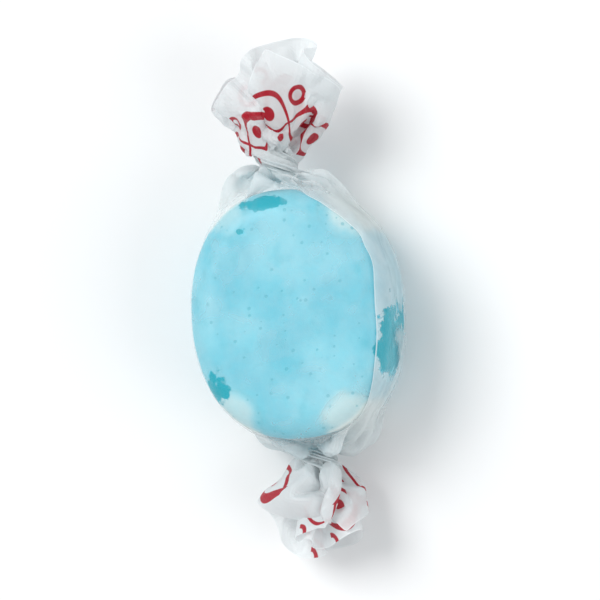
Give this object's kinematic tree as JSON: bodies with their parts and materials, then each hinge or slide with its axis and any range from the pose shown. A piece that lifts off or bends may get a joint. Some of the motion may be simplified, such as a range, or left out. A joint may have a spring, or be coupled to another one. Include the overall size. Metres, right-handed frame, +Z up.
{
  "type": "taffy",
  "caption": "Piece of salt water taffy: a short oval slice of soft blue candy with white stripes down its side, rolled in waxed paper twisted shut at both ends.",
  "frame": {"origin": "middle of the underside of the bounding box, on the surface that the candy lies on", "axes": "+X along the twisted ends, +Z up out of the face that shows, +Y across the candy"},
  "size_m": [0.0572, 0.0236, 0.0167],
  "materials": {
    "blue_candy": "soft pulled sugar, pale blue, satin, stands in for candy",
    "white_candy": "soft pulled sugar, white, satin, stands in for candy",
    "waxed_paper": "thin waxed paper, milky and half clear, soft sheen"
  },
  "bodies": {
    "root": {"candy": "blue_candy", "white_stripe_1": "white_candy", "white_stripe_2": "white_candy", "white_stripe_3": "white_candy", "white_stripe_4": "white_candy", "wrapper": "waxed_paper"}
  },
  "joints": []
}
